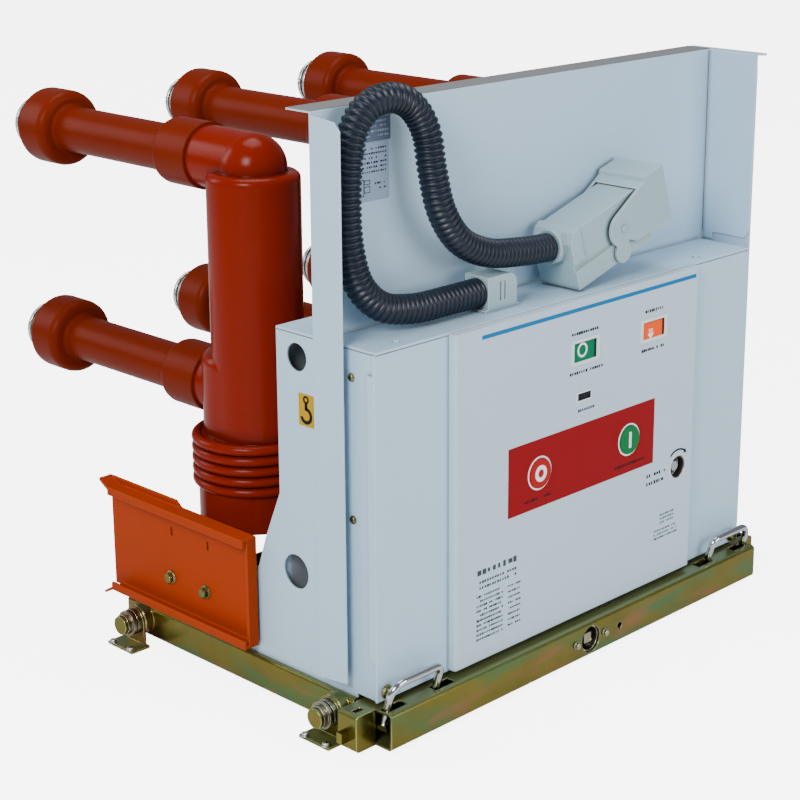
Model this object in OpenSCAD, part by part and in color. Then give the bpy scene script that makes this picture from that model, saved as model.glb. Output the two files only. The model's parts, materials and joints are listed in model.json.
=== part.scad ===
// Withdrawable vacuum circuit breaker with three embedded poles on a racking truck.
// Front panel faces -Y, contact arms point to +Y, Z = 0 is the underside of the feet.

/* [Truck] */
// Distance between neighbouring poles
pole_gap = 275; // [250:1:300]
// Distance from the outer poles to the sides of the truck
pole_inset = 107; // [104:1:116]
// Depth of the front beam
beam_d = 62; // [60:1:70]
// Height of the front beam
beam_h = 49; // [46:1:56]
// Height of the beam above the floor
beam_z = 6; // [5:0.5:8]
// Sheet thickness of beam and rails
steel_t = 3; // [2.5:0.5:4]
// Height of the side rails
rail_h = 46; // [42:1:50]
// Width of the rail flanges
rail_flange = 40; // [36:1:48]
// Distance from the beam front to the rear end of the rails
rail_end = 526; // [510:1:560]
// Travel between test and service position
rack_travel = 200; // [150:5:200]
// Radius of the racking screw
screw_r = 10; // [8:0.5:12]
// Radius of the crank port in the beam
port_r = 19; // [17:0.5:21]

/* [Wheels] */
// Wheel radius
wheel_r = 18; // [16:0.5:20]
// Wheel width
wheel_w = 20; // [18:1:24]
// Axle radius
axle_r = 9; // [7:0.5:10]
// Height of the axles above the floor
axle_z = 34; // [32:0.5:38]
// Distance of the front axle from the beam front
axle_y_front = 94; // [92:1:100]
// Distance of the rear axle from the beam front
axle_y_rear = 490; // [460:1:495]
// Length of the foot plates
foot_l = 54; // [44:1:56]

/* [Handles] */
// Radius of the handle rod
grip_r = 5; // [4.5:0.5:6]
// Distance between the two legs of a handle
grip_w = 86; // [80:1:96]
// Height of a handle above the beam
grip_h = 42; // [36:1:50]
// Forward lean of a handle
grip_lean = 16; // [0:1:20]
// Travel of a handle with its lock tongue
grip_travel = 22; // [16:1:24]

/* [Housing] */
// Inset of the side plates from the truck's sides
side_inset = 8; // [7:0.5:10]
// Distance from the beam front to the cover front
box_front = 30; // [28:1:34]
// Distance from the beam front to the rear plate
box_rear = 206; // [200:1:216]
// Height of the top plate above the floor
box_top = 509; // [490:1:540]
// Housing sheet thickness
sheet_t = 3; // [2:0.5:3]

/* [Panel] */
// Depth of the raised label panel
panel_t = 11.5; // [8:0.5:13]
// Radius of the two push buttons
button_r = 20; // [17:0.5:22]
// Stroke of the push buttons
button_travel = 6; // [4:0.5:7]

/* [Shield] */
// Height of the shield plate above the floor
shield_top = 785; // [760:1:800]
// Distance from the side plates to the shield flanges
shield_out = 15; // [14:0.5:18]
// Distance from the beam front to the rear face of the shield plate
shield_y = 122; // [118:1:128]

/* [Poles] */
// Height of the lower contact arms
arm_z = 366; // [355:1:375]
// Distance between upper and lower arms
arm_gap = 310; // [300:1:320]
// Radius of the pole column
column_r = 62; // [58:1:66]
// Radius of the pole foot
foot_r = 72.5; // [70:0.5:76]
// Distance from the beam front to the pole axis
pole_y = 357; // [350:1:365]
// Number of sheds on the pole foot
sheds = 5; // [3:1:5]
// Distance between sheds
shed_pitch = 14.6; // [13.5:0.1:15]

/* [Arms] */
// Radius of the arm tubes
tube_r = 32.5; // [30:0.5:36]
// Radius of the contact cups
cup_r = 54; // [52:0.5:58]
// Length of a contact cup
cup_l = 63; // [60:1:80]
// Distance from the beam front to the end of the cups
cup_end = 815; // [790:1:840]
// Radius of the fixed contact that a tulip takes
mate_r = 24.5; // [22:0.5:26]
// Number of slots through a tulip, each cut makes two
tulip_cuts = 12; // [8:1:14]

/* [Control plug] */
// Radius of the corrugated hose
hose_r = 19; // [16:0.5:19]
// Length of the plug hood
hood_l = 158; // [138:1:165]
// Width of the plug hood
hood_w = 62; // [54:1:62]
// Height of the plug hood
hood_h = 80; // [76:1:84]
// Lean of the plug on the housing top
hood_tilt = 17; // [10:1:18]

/* [Hidden] */
$fn = 64;
run = 0.05;
tulip_out = 34;
overall_d = cup_end + tulip_out;
beam_top = beam_z + beam_h;
rail_z = beam_z + 2;
rail_top = rail_z + rail_h;
rail_y = beam_d + 6;
rail_l = rail_end - rail_y;
half_w = pole_gap + pole_inset;
beam_w = 2 * half_w;
fold_r = 5;
screw_z = beam_z + beam_h / 2;
nut_y = 130;
boss_l = 13;
leg_t = 4;
leg_x = half_w + boss_l;
wheel_x = leg_x + leg_t + 0.5;
cap_x = wheel_x + wheel_w + 0.5;
side_x = half_w - side_inset;
box_w = 2 * side_x;
shield_w = 2 * (side_x + shield_out);
grip_y = box_front - 7.5 - grip_r;
cover_z = beam_top + 5;
lip_d = 13;
lip_end = 26;
panel_x = -4;
panel_w = beam_w - 2 * (grip_w + grip_travel + 28);
panel_z = cover_z + 2;
panel_h = box_top - panel_z - 2;
off_x = panel_x - panel_w * 0.178;
on_x = panel_x + panel_w * 0.198;
knob_z = panel_z + 228;
charge_x = panel_x + panel_w * 0.429;
charge_z = panel_z + 159;
upper_z = arm_z + arm_gap;
boss_r = tube_r + 9.5;
collar_r = tube_r + 13;
foot_step = 2 * (foot_r - column_r);
collar_y = pole_y + column_r + foot_step + 5;
collar_l = 62;
cup_y = cup_end - cup_l;
cup_in = cup_r - 10;
cup_floor = cup_end - 43;
pole_z = arm_z - 176;
shed_z = arm_z - 116;
web_x = side_x + 4;
guide_y = rail_end - 276;
guide_end = rail_end + 26;
bracket_l = (guide_end - guide_y) * 0.43;
flare = 17;
bar_x = half_w - steel_t - 7;
hood_x = -13;
hood_y = shield_y - 47;
hood_z = box_top + 2.3 + hood_h * cos(hood_tilt);
pivot_u = 100;
pivot_v = -37;
skirt_t = 3;
lever_w = hood_w + 2 * skirt_t + 2;
arm_t = 4;
kx = side_x / 374;
kz = (shield_top - box_top) / 276;
gland_x = -150;
gland_y = 77;
gland_z = hose_r + 4;
plug_x = hood_x - 3;
plug_z = hood_z - 19 - box_top;

// Hose centre line: X, distance from the beam front, height above the housing
hose_points = [
  [gland_x, gland_y, gland_z], [-170 * kx, gland_y, gland_z], [-214 * kx, gland_y, gland_z],
  [-262 * kx, 78, gland_z + 1], [-310 * kx, 83, 34 * kz], [-340 * kx, 90, 63 * kz],
  [-353 * kx, 94, 106 * kz], [-357 * kx, 95, 153 * kz], [-355 * kx, 95, 206 * kz],
  [-346 * kx, 94, 249 * kz], [-325 * kx, 92, 276 * kz], [-292 * kx, 88, 285 * kz],
  [-260 * kx, 84, 273 * kz], [-239 * kx, 79, 240 * kz], [-232 * kx, 75, 191 * kz],
  [-218 * kx, 73, 139 * kz], [-186 * kx, 72, 97 * kz], [-134, 72, plug_z + 13],
  [-74, 73, plug_z + 4], [-40, 74, plug_z + 1], [plug_x, 75, plug_z]
];

// Distance from the beam front turned into the Y of the shared frame
function fy(v) = v - overall_d / 2;

// Point on the smooth line through four hose points
function blend(a, b, c, d, t) =
  0.5 * (2 * b + (c - a) * t + (2 * a - 5 * b + 4 * c - d) * t * t
  + (3 * b - a - 3 * c + d) * t * t * t);
function unit(v) = v / norm(v);

// Points of a quarter arc that starts at angle a
function corner(x, y, r, a) =
  [for (i = [0 : 4]) [x + r * cos(a + 22.5 * i), y + r * sin(a + 22.5 * i)]];
function round_rect(x, y, w, h, r) = concat(
  corner(x + w - r, y + h - r, r, 0), corner(x + r, y + h - r, r, 90),
  corner(x + r, y + r, r, 180), corner(x + w - r, y + r, r, 270));

// Block with its smallest corner at x, y, z
module block(x, y, z, sx, sy, sz) {
  translate([x, fy(y), z])
    cube([sx, sy, sz]);
}

// Round bar along Y from y to y + l
module bar_y(x, y, z, r, l) {
  translate([x, fy(y), z])
    rotate([-90, 0, 0])
      cylinder(r = r, h = l);
}

// Round bar along -X from x outwards
module bar_out(x, y, z, r, l) {
  translate([-x, fy(y), z])
    rotate([0, -90, 0])
      cylinder(r = r, h = l);
}

// Flat plate in the side view, outline given as distance from the front and height
module side_sheet(x, t) {
  translate([x, -overall_d / 2, 0])
    rotate([90, 0, 90])
      linear_extrude(height = t)
        children();
}

// Profile in the front view, drawn out along Y from y to y + l
module front_bar(y, l) {
  translate([0, fy(y + l), 0])
    rotate([90, 0, 0])
      linear_extrude(height = l)
        children();
}

// Axle with its boss, hook foot and end cap
module axle(y) {
  bar_out(half_w - 1, y, axle_z, wheel_r + 4, boss_l + 1);
  bar_out(half_w - 1, y, axle_z, axle_r, cap_x - half_w + 4);
  bar_out(cap_x, y, axle_z, axle_r + 4, 4);
  bar_out(leg_x, y, axle_z, wheel_r + 2, leg_t);
  block(-leg_x - leg_t, y - wheel_r - 2, 0, leg_t, 2 * wheel_r + 4, axle_z);
  block(-cap_x - 6, y - foot_l / 2, 0, cap_x + 6 - leg_x, foot_l, leg_t);
}

// Side rail with the two axles and the bracket of the guide plate
module rail() {
  color("darkkhaki") {
    difference() {
      front_bar(rail_y, rail_l)
        polygon(round_rect(-half_w, rail_z, rail_flange + fold_r, rail_h, fold_r));
      block(-half_w + steel_t, rail_y - 1, rail_z + steel_t,
        rail_flange + fold_r, rail_l + 2, rail_h - 2 * steel_t);
      block(-half_w + rail_flange, rail_y - 1, rail_z - 1, fold_r + 1, rail_l + 2, rail_h + 2);
    }
    block(-web_x, guide_y + 80, rail_top - 1, steel_t, bracket_l, 110);
    block(-web_x, guide_y + 80, rail_top - 1, 30, bracket_l, steel_t + 1);
    axle(axle_y_front);
    axle(axle_y_rear);
  }
}

module left_rail() {
  rail();
}

module right_rail() {
  mirror([1, 0, 0])
    rail();
}

// Cross beam that carries the nut of the racking screw
// Cross bar below the racking screw
module nut_beam() {
  w = 2 * (half_w - rail_flange + 10);
  z = rail_z + steel_t;
  color("darkkhaki")
    block(-w / 2, nut_y - 20, z, w, 40, screw_z - screw_r - 3 - z);
}

module rear_beam() {
  w = 2 * (half_w - rail_flange + 10);
  color("darkkhaki") {
    block(-w / 2, rail_end - 44, rail_z + steel_t, w, 40, steel_t);
    block(-w / 2, rail_end - 44, rail_z + steel_t, w, steel_t, rail_h - 2 * steel_t);
    block(-w / 2, rail_end - 4 - steel_t, rail_z + steel_t, w, steel_t, rail_h - 2 * steel_t);
  }
}

// Tongue box at one end of the front beam
module beam_end() {
  color("darkkhaki")
    difference() {
      front_bar(28, beam_d - 29)
        polygon(concat([[-half_w, beam_z], [-half_w, beam_top]],
          corner(-half_w - 33 + fold_r, beam_top - fold_r, fold_r, 90),
          corner(-half_w - 33 + fold_r, beam_z + fold_r, fold_r, 180)));
      block(-half_w - 30, 31, beam_z + 3, 32, beam_d - 35, beam_h - 6);
      block(-half_w - 34, 41.2, screw_z - 12.3, 5, 9.6, 14.6);
      block(-half_w - 24, 38, beam_top - 5, 14, 8, 6);
    }
}

module beam_end_left() {
  beam_end();
}

module beam_end_right() {
  mirror([1, 0, 0])
    beam_end();
}

// Rear wall of the beam, which bears the screw, and the bars that run inside the rails
module slide_frame() {
  color("darkkhaki")
    difference() {
      union() {
        block(-half_w, beam_d - steel_t, beam_z, beam_w, steel_t, beam_h);
        for (x = [-bar_x, bar_x - 10])
          block(x, beam_d - 1, rail_z + steel_t + 0.3, 10, rack_travel + 51, 20);
      }
      bar_y(0, beam_d - steel_t - 1, screw_z, screw_r + run, steel_t + 2);
    }
}

// Slots in the beam top for the legs of one handle
module grip_slots() {
  for (s = [0, grip_w])
    block(-half_w + 3 + s, grip_y - grip_r - 2, beam_top - steel_t - 1,
      2 * grip_r + 3 + grip_travel, 2 * grip_r + 4, steel_t + 2);
}

// Folded channel, open towards the truck, with the crank port and the handle slots
module front_beam() {
  r = beam_d - steel_t;
  color("darkkhaki")
    difference() {
      side_sheet(-half_w, beam_w)
        polygon(concat([[r, beam_z], [r, beam_top]],
          corner(fold_r, beam_top - fold_r, fold_r, 90), corner(fold_r, beam_z + fold_r, fold_r, 180)));
      block(-half_w - 1, steel_t, beam_z + steel_t, beam_w + 2, beam_d, beam_h - 2 * steel_t);
      bar_y(0, -1, screw_z, port_r, steel_t + 2);
      bar_y(62, -1, screw_z, 4.8, steel_t + 2);
      grip_slots();
      mirror([1, 0, 0])
        grip_slots();
    }
}

module racking_screw() {
  color("silver") {
    bar_y(0, 22, screw_z, screw_r, rack_travel + nut_y);
    bar_y(0, beam_d - steel_t - 6.5, screw_z, screw_r + 5, 6);
    block(-7, 6, screw_z - 7, 14, 18, 14);
  }
}

// Quarter bend of the handle rod, from upright to level
module elbow(r) {
  rotate([90, 0, 0])
    intersection() {
      rotate_extrude()
        translate([r, 0])
          circle(r = grip_r);
      translate([-r - grip_r - 1, 0, -grip_r - 1])
        cube([r + grip_r + 1, r + grip_r + 1, 2 * grip_r + 2]);
    }
}

// Handle rod, carrier plate and lock tongue of the left side
module handle() {
  x1 = -half_w + 3 + 1.5 + grip_r;
  bend = 20;
  inner = 12;
  zt = grip_h - grip_r;
  down = beam_top - screw_z - 2;
  color("gainsboro") {
    translate([x1, fy(grip_y), beam_top - 1.5])
      rotate([grip_lean, 0, 0]) {
        translate([0, 0, -down])
          cylinder(r = grip_r, h = down + zt - bend);
        translate([bend, 0, zt - bend])
          elbow(bend);
        translate([bend, 0, zt])
          rotate([0, 90, 0])
            cylinder(r = grip_r, h = grip_w - bend - inner);
        translate([grip_w - inner, 0, zt - inner])
          mirror([1, 0, 0])
            elbow(inner);
        translate([grip_w, 0, -down])
          cylinder(r = grip_r, h = down + zt - inner);
      }
    block(x1 - 8, grip_y - 8, screw_z - 2, grip_w + 16, 60 - grip_y - 8, 5);
    block(-half_w - 45, 41.5, screw_z - 12, 60, 9, 14);
  }
}

module left_handle() {
  handle();
}

module right_handle() {
  mirror([1, 0, 0])
    handle();
}

// Ribbed roller on its axle
module wheel(y) {
  color("lightgray")
    difference() {
      union() {
        bar_out(wheel_x, y, axle_z, wheel_r - 3.5, wheel_w);
        bar_out(wheel_x, y, axle_z, wheel_r, 6);
        bar_out(wheel_x + 8.5, y, axle_z, wheel_r, 5);
      }
      bar_out(wheel_x - 1, y, axle_z, axle_r + run, wheel_w + 2);
      bar_out(wheel_x + wheel_w - 2, y, axle_z, wheel_r - 6, 3);
    }
}

module wheel_front_left() {
  wheel(axle_y_front);
}

module wheel_front_right() {
  mirror([1, 0, 0])
    wheel(axle_y_front);
}

module wheel_rear_left() {
  wheel(axle_y_rear);
}

module wheel_rear_right() {
  mirror([1, 0, 0])
    wheel(axle_y_rear);
}

// Side plate with its two lifting holes, left side
module side_plate() {
  f = box_front + sheet_t;
  color("lightsteelblue")
    side_sheet(-side_x, sheet_t)
      difference() {
        polygon([[f, cover_z], [rail_y, cover_z], [rail_y, rail_top], [box_rear + 68, rail_top],
          [box_rear + 50, rail_top + 108], [box_rear + 30, rail_top + 166],
          [box_rear, rail_top + 236], [box_rear, box_top - sheet_t], [f, box_top - sheet_t]]);
        translate([box_rear - 37, box_top - 33])
          circle(r = 18);
        translate([box_rear - 28, rail_top + 137])
          circle(r = 23);
      }
}

module side_left() {
  side_plate();
}

module side_right() {
  mirror([1, 0, 0])
    side_plate();
}

module top_plate() {
  color("lightsteelblue")
    block(-side_x, box_front, box_top - sheet_t, box_w, box_rear - box_front, sheet_t);
}

module rear_plate() {
  w = box_w - 2 * sheet_t;
  color("lightsteelblue")
    block(-w / 2, box_rear - sheet_t, rail_top, w, sheet_t, box_top - sheet_t - rail_top);
}

// Round holes through panel and cover for the buttons and the charging socket
module panel_holes(y, l) {
  bar_y(off_x, y, knob_z, button_r + 0.6, l);
  bar_y(on_x, y, knob_z, button_r + 0.6, l);
  bar_y(charge_x, y, charge_z, 17.6, l);
}

module front_cover() {
  x = side_x + sheet_t;
  h = box_top - sheet_t - cover_z;
  color("lightsteelblue")
    difference() {
      union() {
        block(-x, box_front, cover_z, 2 * x, sheet_t, h);
        block(-x, box_front, cover_z + 2 * lip_end, sheet_t, lip_d, h - 3 * lip_end);
        block(side_x, box_front, cover_z + 2 * lip_end, sheet_t, lip_d, h - 3 * lip_end);
      }
      panel_holes(box_front - 1, sheet_t + 2);
    }
}

// Raised panel with rounded front edges
module label_panel() {
  x = panel_x - panel_w / 2;
  e = 4;
  color("gainsboro")
    difference() {
      translate([0, fy(box_front), panel_z])
        linear_extrude(height = panel_h)
          polygon(concat([[x + panel_w, 0], [x, 0]], corner(x + e, e - panel_t, e, 180),
            corner(x + panel_w - e, e - panel_t, e, 270)));
      panel_holes(box_front - panel_t - 1, panel_t + 2);
    }
}

// Push button with a retaining rim behind the cover
module button(x) {
  back = box_front + sheet_t + 0.3;
  bar_y(x, box_front - panel_t - 3, knob_z, button_r, back - box_front + panel_t + 5);
  bar_y(x, back, knob_z, button_r + 4, 3);
}

module off_button() {
  color("red")
    button(off_x);
}

module on_button() {
  color("green")
    button(on_x);
}

module charge_socket() {
  back = box_front + sheet_t + 0.3;
  color("dimgray")
    difference() {
      union() {
        bar_y(charge_x, box_front - panel_t, charge_z, 17, back + 2 - box_front + panel_t);
        bar_y(charge_x, back, charge_z, 21, 14);
      }
      bar_y(charge_x, box_front - panel_t - 1, charge_z, 12, 5);
      translate([charge_x, fy(box_front), charge_z])
        rotate([-90, 0, 0])
          cylinder(r = 8, h = 12, $fn = 6);
    }
}

// Long flange of the shield plate beside the housing, left side, d deep
module shield_side(d) {
  x = shield_w / 2;
  side_sheet(-x, 2)
    polygon([[shield_y, rail_top + 16], [shield_y - d, rail_top + 22],
      [shield_y - d, shield_top - 18], [shield_y - d + 10, shield_top - 8],
      [shield_y, shield_top - 4]]);
  block(-x, shield_y - 2, rail_top + 16, x - side_x, 2, box_top - rail_top - 16);
}

// Plate with a top lip over the housing, flanges at both sides and a wing at the right
module shield_plate() {
  x = shield_w / 2;
  w = 84;
  color("lightsteelblue") {
    block(-x, shield_y - 2, box_top, 2 * x, 2, shield_top - box_top);
    block(-x, shield_y - 2, shield_top - 2, 2 * x, 42, 2);
    block(-side_x + 10, shield_y - 1, box_top, box_w - 20, 28, 2);
    shield_side(51);
    mirror([1, 0, 0])
      shield_side(w);
    side_sheet(x - 4, 3)
      polygon([[shield_y, box_top + 10], [shield_y - w + 8, box_top + 10],
        [shield_y - w, box_top + 24], [shield_y - w, shield_top], [shield_y, shield_top]]);
    block(x - 4, shield_y - 20, box_top, 3, 19, 12);
    block(x - 4, shield_y - w, shield_top - 2, 18, w + 40, 2);
    translate([x + 5, fy(shield_y - w), shield_top - 2])
      cylinder(r = 9, h = 2);
  }
}

// Ring of revolution with a rounded upper edge
module round_post(r, h, e) {
  cylinder(r = r, h = h - e);
  cylinder(r = r - e, h = h);
  translate([0, 0, h - e])
    rotate_extrude()
      translate([r - e, 0])
        circle(r = e);
}

// Embedded pole: column, set-back foot with sheds, two bosses and mounting ribs
module pole(x) {
  color("firebrick") {
    translate([x, fy(pole_y), pole_z]) {
      round_post(column_r, upper_z - 8 - pole_z, 10);
      translate([0, foot_step, 0])
        round_post(column_r, arm_z + 58 - pole_z, 16);
      translate([-column_r, 0, 0])
        cube([2 * column_r, foot_step, arm_z + 42 - pole_z]);
      translate([0, foot_step / 2, 0]) {
        cylinder(r = foot_r, h = shed_z - pole_z + (sheds - 1) * shed_pitch + 4);
        cylinder(r = foot_r + 5, h = shed_z - pole_z);
        for (i = [0 : sheds - 1])
          translate([0, 0, shed_z - pole_z + i * shed_pitch])
            rotate_extrude()
              translate([foot_r + 6, 0])
                circle(r = 7);
      }
    }
    bar_y(x, pole_y, upper_z, boss_r, collar_y - pole_y);
    translate([x, fy(pole_y), upper_z - 3]) {
      sphere(r = boss_r + 3);
      translate([0, 0, -12])
        cylinder(r = boss_r + 3, h = 12);
    }
    bar_y(x, pole_y, arm_z, boss_r, collar_y - pole_y);
    block(x - 14, box_rear, pole_z + 4, 28, pole_y - box_rear, shed_z - pole_z + 74);
    block(x - 14, box_rear, arm_z + 40, 28, pole_y - box_rear, 50);
  }
}

module pole_left() {
  pole(-pole_gap);
}

module pole_middle() {
  pole(0);
}

module pole_right() {
  pole(pole_gap);
}

// Insulated contact arm: collar, tube and a rounded cup that is open towards the rear
module arm(x, z) {
  c = collar_y + collar_l;
  e = 12;
  color("sienna")
    translate([x, fy(0), z])
      rotate([-90, 0, 0])
        rotate_extrude()
          polygon(concat([[0, cup_floor], [0, collar_y], [collar_r, collar_y], [collar_r, c],
            [collar_r - 1, c + 4], [collar_r - 4, c + 8], [tube_r + 4, c + 11],
            [tube_r, c + 13], [tube_r, cup_y - 4], [tube_r + 1, cup_y - 1], [tube_r + 4, cup_y]],
            [for (i = [0 : 4]) [cup_r - e + e * sin(22.5 * i), cup_y + e - e * cos(22.5 * i)]],
            [for (i = [0 : 4]) [cup_r - e + e * cos(18 * i), cup_end - e + e * sin(18 * i)]],
            [[cup_in, cup_end - 3], [cup_in, cup_floor]]));
}

module arm_upper_left() {
  arm(-pole_gap, upper_z);
}

module arm_upper_middle() {
  arm(0, upper_z);
}

module arm_upper_right() {
  arm(pole_gap, upper_z);
}

module arm_lower_left() {
  arm(-pole_gap, arm_z);
}

module arm_lower_middle() {
  arm(0, arm_z);
}

module arm_lower_right() {
  arm(pole_gap, arm_z);
}

// Tulip contact: a ring of sprung fingers held by garter springs
module tulip(x, z) {
  o = mate_r + 9;
  color("silver")
    translate([x, fy(0), z])
      rotate([-90, 0, 0]) {
        difference() {
          rotate_extrude()
            polygon([[0, cup_floor], [o - 2, cup_floor], [o - 2, overall_d - 48],
              [o, overall_d - 44], [o, overall_d - 4], [o - 3, overall_d],
              [mate_r + 3, overall_d], [mate_r, overall_d - 5], [mate_r, cup_floor + 12],
              [0, cup_floor + 12]]);
          for (i = [0 : tulip_cuts - 1])
            rotate([0, 0, (i + 0.5) * 180 / tulip_cuts])
              translate([-o - 1, -1, cup_floor + 18])
                cube([2 * o + 2, 2, overall_d]);
        }
        for (d = [10, 19, 28])
          translate([0, 0, overall_d - d])
            rotate_extrude()
              translate([o, 0])
                circle(r = 3);
      }
}

module tulip_upper_left() {
  tulip(-pole_gap, upper_z);
}

module tulip_upper_middle() {
  tulip(0, upper_z);
}

module tulip_upper_right() {
  tulip(pole_gap, upper_z);
}

module tulip_lower_left() {
  tulip(-pole_gap, arm_z);
}

module tulip_lower_middle() {
  tulip(0, arm_z);
}

module tulip_lower_right() {
  tulip(pole_gap, arm_z);
}

// Lip of the guide plate, outline in the side view with its flare at the rear
module guide_lip(z, up) {
  e = guide_end - flare;
  side_sheet(-web_x - 24, 21)
    polygon([[guide_y, z], [e, z], [guide_end, z + up * 10], [guide_end, z + up * 14],
      [e, z + up * 4], [guide_y, z + up * 4]]);
}

// Guide plate with outward lips, left side
module guide() {
  zb = rail_top + 14;
  zt = rail_top + 166;
  e = guide_end - flare;
  color("orangered") {
    difference() {
      side_sheet(-web_x - 4, 4)
        polygon([[guide_y, zb], [guide_end, zb], [guide_end, zt + 8], [guide_y + 160, zt + 8],
          [guide_y + 150, zt], [guide_y, zt]]);
      for (y = [guide_y + 95, guide_y + 171])
        block(-web_x - 5, y - 2.5, zt - 46, 6, 5, 13);
    }
    guide_lip(zt - 4, 1);
    guide_lip(zb + 4, -1);
    block(-web_x - 24, guide_y, zt - 11, 4, e - guide_y, 9);
    block(-web_x - 24, guide_y, zb + 2, 4, e - guide_y, 9);
    block(-web_x - 16, guide_y, zb, 13, 4, zt - zb);
  }
}

module guide_left() {
  guide();
}

module guide_right() {
  mirror([1, 0, 0])
    guide();
}

module hose_gland() {
  y = gland_y + shield_y - 122 - hose_r - 1;
  d = 2 * hose_r + 2;
  h = gland_z + hose_r + 3;
  color("lightgray")
    difference() {
      union() {
        front_bar(y, d)
          polygon(concat([[gland_x, box_top], [gland_x + 54, box_top]],
            corner(gland_x + 40, box_top + h - 14, 14, 0), [[gland_x, box_top + h]]));
        block(gland_x - 5, y, box_top, 64, d, 3);
      }
      block(gland_x + 22, y - 1, box_top + 12, 3, 3, h - 20);
      block(gland_x + 30, y - 1, box_top + 12, 3, 3, h - 20);
    }
}

// Corrugated hose swept along its points
module control_hose() {
  n = len(hose_points);
  m = 3;
  k = 10;
  p = [for (v = hose_points) [v[0], fy(v[1] + shield_y - 122), box_top + v[2]]];
  line = concat([for (i = [0 : n - 2], j = [0 : m - 1])
    blend(p[max(i - 1, 0)], p[i], p[i + 1], p[min(i + 2, n - 1)], j / m)], [p[n - 1]]);
  c = len(line);
  dir = [for (i = [0 : c - 1])
    i == 0 || i == c - 1 ? [i == 0 ? -1 : 1, 0, 0] : unit(line[i + 1] - line[i - 1])];
  side = [for (d = dir) unit(cross(d, [0, 1, 0]))];
  ring = [for (i = [0 : c - 1], j = [0 : k - 1])
    line[i] + hose_r * (cos(360 * j / k) * side[i]
    + sin(360 * j / k) * cross(dir[i], side[i]))];
  wall = [for (i = [0 : c - 2], j = [0 : k - 1])
    [i * k + j, i * k + (j + 1) % k, (i + 1) * k + (j + 1) % k, (i + 1) * k + j]];
  color("darkslategray")
    polyhedron(points = ring, faces = concat(wall,
      [[for (j = [k - 1 : -1 : 0]) j], [for (j = [0 : k - 1]) (c - 1) * k + j]]));
}

// Places a piece in the tilted frame of the plug, top left edge at its origin
module plug_frame() {
  translate([hood_x, fy(hood_y), hood_z])
    rotate([0, -hood_tilt, 0])
      children();
}

// Outline standing in the side view of the plug, centred over its width
module plug_profile(w) {
  rotate([90, 0, 0])
    linear_extrude(height = w, center = true)
      children();
}

module plug_hood() {
  color("lightgray") {
    translate([plug_x, fy(hood_y), box_top + plug_z])
      rotate([0, 90, 0])
        cylinder(r = hose_r + 4, h = 40);
    plug_frame() {
      plug_profile(hood_w)
        polygon([[0, -16], [10, -3], [18, 0], [hood_l - 8, 0], [hood_l, -6],
          [hood_l, -hood_h], [0, -hood_h]]);
      translate([0, -hood_w / 2 - skirt_t, -hood_h])
        cube([hood_l, hood_w + 2 * skirt_t, 27]);
      plug_profile(hood_w + 5)
        polygon([[0, -44], [0, -14], [9, -1], [16, 2], [22, 2], [22, -44]]);
      translate([pivot_u, 0, pivot_v])
        rotate([90, 0, 0])
          cylinder(r = 5, h = lever_w + 2 * arm_t + 3, center = true);
    }
  }
}

// Locking lever: two arms on the pivot pin, joined over the end of the hood
module plug_lever() {
  e = hood_l + 36;
  color("darkgray")
    plug_frame()
      difference() {
        union() {
          plug_profile(lever_w + 2 * arm_t)
            translate([pivot_u - 4, pivot_v])
              circle(r = 23);
          plug_profile(lever_w + 2 * arm_t)
            translate([pivot_u - 8, pivot_v - 31])
              circle(r = 15);
          plug_profile(lever_w + 2 * arm_t)
            polygon([[pivot_u - 14, -16], [hood_l - 3, 6], [hood_l, 12], [e + 4, 12],
              [e + 4, -70], [pivot_u + 22, -66], [pivot_u + 8, -57]]);
        }
        plug_profile(lever_w + 2 * arm_t + 2)
          translate([pivot_u, pivot_v])
            circle(r = 5 + run);
        translate([0, -lever_w / 2, -100])
          cube([e, lever_w, 101.5]);
      }
}

left_rail();
right_rail();
nut_beam();
rear_beam();
front_beam();
beam_end_left();
beam_end_right();
slide_frame();
racking_screw();
left_handle();
right_handle();
wheel_front_left();
wheel_front_right();
wheel_rear_left();
wheel_rear_right();
side_left();
side_right();
top_plate();
rear_plate();
front_cover();
label_panel();
off_button();
on_button();
charge_socket();
shield_plate();
pole_left();
pole_middle();
pole_right();
arm_upper_left();
arm_upper_middle();
arm_upper_right();
arm_lower_left();
arm_lower_middle();
arm_lower_right();
tulip_upper_left();
tulip_upper_middle();
tulip_upper_right();
tulip_lower_left();
tulip_lower_middle();
tulip_lower_right();
guide_left();
guide_right();
hose_gland();
control_hose();
plug_hood();
plug_lever();
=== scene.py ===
import bpy
import bmesh
import json
import math
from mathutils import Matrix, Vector


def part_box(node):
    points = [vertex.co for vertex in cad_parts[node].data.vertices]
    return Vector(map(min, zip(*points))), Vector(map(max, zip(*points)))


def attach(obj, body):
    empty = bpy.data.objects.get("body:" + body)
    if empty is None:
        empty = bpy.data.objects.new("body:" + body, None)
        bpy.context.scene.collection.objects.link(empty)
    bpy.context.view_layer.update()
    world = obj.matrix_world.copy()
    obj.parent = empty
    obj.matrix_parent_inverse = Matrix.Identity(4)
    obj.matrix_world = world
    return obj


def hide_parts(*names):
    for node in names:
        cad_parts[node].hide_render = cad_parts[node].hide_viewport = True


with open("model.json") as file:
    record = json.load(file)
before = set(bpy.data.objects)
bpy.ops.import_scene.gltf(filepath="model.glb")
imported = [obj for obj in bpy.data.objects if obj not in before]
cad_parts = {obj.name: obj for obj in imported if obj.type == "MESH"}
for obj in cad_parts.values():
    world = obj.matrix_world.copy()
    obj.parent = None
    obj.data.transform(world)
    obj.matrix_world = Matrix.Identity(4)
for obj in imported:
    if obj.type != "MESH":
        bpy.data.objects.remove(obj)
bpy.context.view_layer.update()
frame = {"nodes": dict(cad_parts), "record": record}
nodes = frame["nodes"]
depthHalf = 0.4245  # half the depth of the truck with its contacts
print("frame loaded,", len(nodes), "nodes")


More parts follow.
